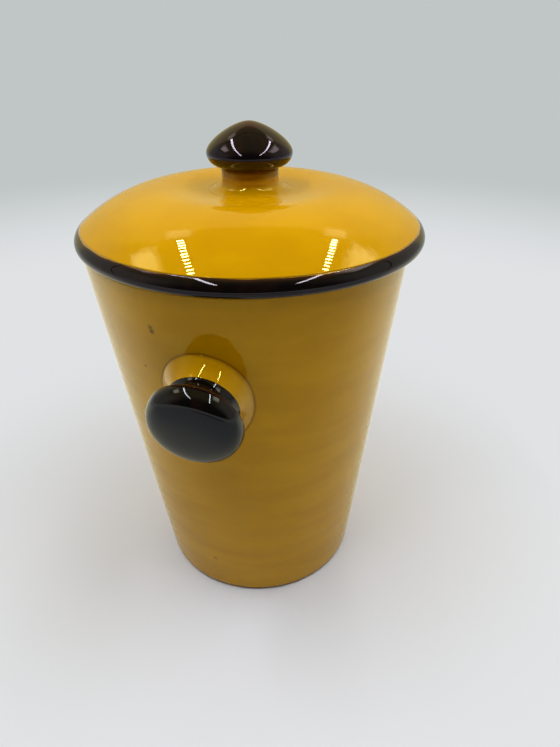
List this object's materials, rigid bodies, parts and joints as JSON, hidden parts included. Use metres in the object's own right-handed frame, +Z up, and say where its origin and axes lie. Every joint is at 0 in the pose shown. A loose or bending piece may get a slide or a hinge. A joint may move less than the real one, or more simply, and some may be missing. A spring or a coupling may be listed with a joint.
{
  "type": "olive jar",
  "caption": "Glazed earthenware olive jar: tapered vessel with a side knob and a lift-off domed lid with a dark rounded rim and a dark knob.",
  "frame": {"origin": "centre of the flat foot, on the surface that the jar stands on", "axes": "+Z up along the axis that the jar is turned about, side knob towards -Y"},
  "size_m": [0.16, 0.1768, 0.2366],
  "materials": {
    "yellow_glaze": "glossy ochre-yellow glaze that breaks to brown in the creases",
    "dark_glaze": "glossy black-brown glaze, browner where it runs thin",
    "bare_clay": "bare fired earthenware, matt"
  },
  "bodies": {
    "jar": {"jar_body": "yellow_glaze", "foot": "bare_clay", "side_knob_base": "yellow_glaze", "side_knob_neck": "dark_glaze", "side_knob_head": "dark_glaze"},
    "ring": {"lid_ring": "bare_clay"},
    "lid": {"lid_rim": "dark_glaze", "lid_dome": "yellow_glaze", "lid_knob_neck": "yellow_glaze", "lid_knob_cap": "dark_glaze"}
  },
  "joints": [
    {"name": "lid_lift", "type": "slide", "parent": "jar", "child": "ring", "axis": [0, 0, 1], "range_m": [0, 0.08]},
    {"name": "lid_turn", "type": "hinge", "parent": "ring", "child": "lid", "pos_m": [0, 0, 0.188], "axis": [0, 0, 1], "continuous": true}
  ]
}
